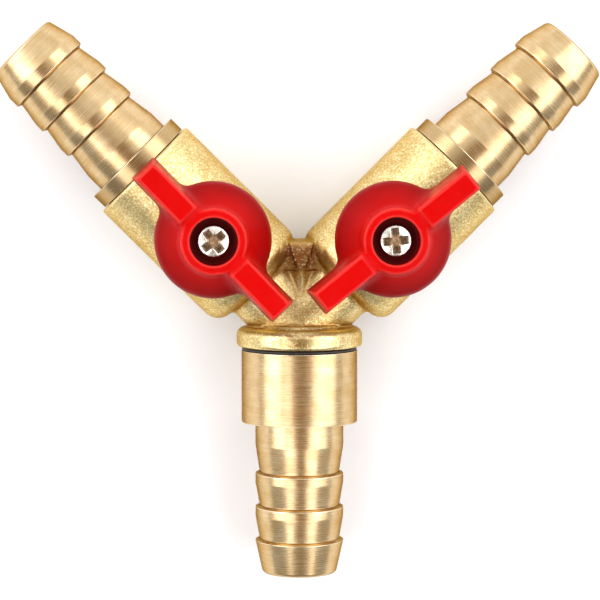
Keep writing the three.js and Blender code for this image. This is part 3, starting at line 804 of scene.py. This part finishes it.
def make_handles():
    across, reach = SKIRT_R + HANDLE_MARGIN, HANDLE_LENGTH / 2 + HANDLE_MARGIN
    low = (-across, -reach, SKIRT_Z - HANDLE_MARGIN)
    high = (across, reach, WING_TIP_TOP + HANDLE_MARGIN)
    moulding = surface(handle_field(*axes(low, high, HANDLE_STEP)), low, HANDLE_STEP)
    head_reach = HEAD_R + SCREW_MARGIN
    head_low = (-head_reach, -head_reach, SHANK_BOTTOM - SCREW_MARGIN)
    head_high = (head_reach, head_reach, HEAD_TOP + SCREW_MARGIN)
    for name in SIDES:
        place, rider = valve_place(name), f"{name}_valve"
        piece(f"{name}_handle_moulding", *moulding, place, rider, "red_nylon", f"{name}_handle", RED)
        field = screw_field(*axes(head_low, head_high, SCREW_STEP), SCREW_TURN[name])
        screw = surface(field, head_low, SCREW_STEP)
        piece(f"{name}_cross_screw", *screw, place, rider, "plated_steel", f"{name}_handle_screw", STEEL)


# ---------------------------------------------------------------- pieces that keep their CAD shape

def finish_inner_pieces():
    for name in SIDES:
        inner = {
            "ball": CHROME,
            "stem": STEM_BRASS,
            "thrust_washer": PTFE,
            "inner_seat": PTFE,
            "outer_seat": PTFE,
            "lower_o_ring": RUBBER,
            "upper_o_ring": RUBBER,
        }
        for node, material in inner.items():
            for slot in frame["nodes"][f"{name}_{node}"].material_slots:
                slot.material = material


# ---------------------------------------------------------------- floor, light and camera

def make_floor():
    size = 3.0
    mesh = bpy.data.meshes.new("floor")
    corners = [(-size, -size, 0), (size, -size, 0), (size, size, 0), (-size, size, 0)]
    mesh.from_pydata(corners, [], [(0, 1, 2, 3)])
    made = Finish("floor", own_place=False, Roughness=0.8)
    tone = made.ramp(made.noise(6, 2), 0.3, 0.7)
    mesh.materials.append(made.looks(made.mix(tone, (0.91, 0.91, 0.91), (0.93, 0.93, 0.93))))
    floor = bpy.data.objects.new("floor", mesh)
    bpy.context.collection.objects.link(floor)


SKY = (0.25, 1.25)  # brightness towards -Y and towards +Y
OVERHEAD = (0.34, 0.22, 0.12)  # brightness of the dark patch that the camera would stand in
OVERHEAD_TOWARD = Vector((-0.06, -0.18, 1))
OVERHEAD_EDGE = (17, 31)  # degrees from its middle where it starts and stops fading
SOFTBOX_TINT = (0.96, 0.99, 1.08)
SOFTBOXES = (  # name, place from the junction, length and height, brightness
    ("left_softbox", (-0.62, 0.22, 0.45), (0.95, 0.5), 2.9),
    ("right_softbox", (0.56, 0.22, 0.5), (0.95, 0.55), 2.5),
    ("front_left_softbox", (-0.34, -0.27, 0.65), (0.36, 0.4), 2.7),
    ("front_right_softbox", (0.38, -0.3, 0.62), (0.36, 0.4), 2.6),
)


def softbox(name, place, aim, length, height, power):
    light = bpy.data.lights.new(name, "AREA")
    light.shape = "RECTANGLE"
    light.size, light.size_y = length, height
    light.energy = power
    light.color = SOFTBOX_TINT
    made = bpy.data.objects.new(name, light)
    bpy.context.collection.objects.link(made)
    made.location = place
    made.rotation_mode = "QUATERNION"
    made.rotation_quaternion = (Vector(aim) - Vector(place)).to_track_quat("-Z", "Y")


def make_world():
    """Even studio light, stronger from +Y, with a dark warm patch overhead."""
    world = bpy.data.worlds.new("studio")
    bpy.context.scene.world = world
    world.use_nodes = True
    sky = Nodes(world.node_tree)
    direction = sky.add("ShaderNodeTexCoord").outputs["Generated"]
    along_y = sky.add("ShaderNodeSeparateXYZ", {0: direction}).outputs[1]
    open_sky = sky.ramp(along_y, -0.8, 0.8, *SKY)
    toward = {0: direction, 1: OVERHEAD_TOWARD.normalized()}
    facing = sky.add("ShaderNodeVectorMath", toward, operation="DOT_PRODUCT").outputs["Value"]
    inner, outer = (math.cos(math.radians(degrees)) for degrees in OVERHEAD_EDGE)
    color = sky.mix(sky.ramp(facing, outer, inner), open_sky, OVERHEAD)
    sky.put(world.node_tree.nodes["Background"], {"Color": color, "Strength": 1.0})


def make_light():
    for name, place, size, brightness in SOFTBOXES:
        softbox(name, JUNCTION + Vector(place), JUNCTION, *size, brightness * math.pi * size[0] * size[1])
    bpy.context.scene.view_settings.view_transform = "Standard"


CAMERA_DISTANCE = 0.381
CAMERA_TILT = 4.65  # degrees from straight down, towards +Y
CAMERA_SIDE = -3.2  # degrees towards +X
LOOKS_AT = JUNCTION + Vector((0.0001, 0.0037, 0))
LENS = 143.2


def make_camera():
    camera = bpy.data.cameras.new("camera")
    camera.lens = LENS
    camera.clip_start = 0.01
    made = bpy.data.objects.new("camera", camera)
    bpy.context.collection.objects.link(made)
    back = Vector((math.tan(math.radians(CAMERA_SIDE)), math.tan(math.radians(CAMERA_TILT)), 1)).normalized()
    made.location = LOOKS_AT + back * CAMERA_DISTANCE
    right = Vector((0, 1, 0)).cross(back).normalized()
    made.rotation_mode = "QUATERNION"
    made.rotation_quaternion = Matrix((right, back.cross(right), back)).transposed().to_quaternion()
    bpy.context.scene.camera = made


make_camera()
make_world()
make_light()
make_floor()
make_body()
make_barbs()
make_handles()
finish_inner_pieces()
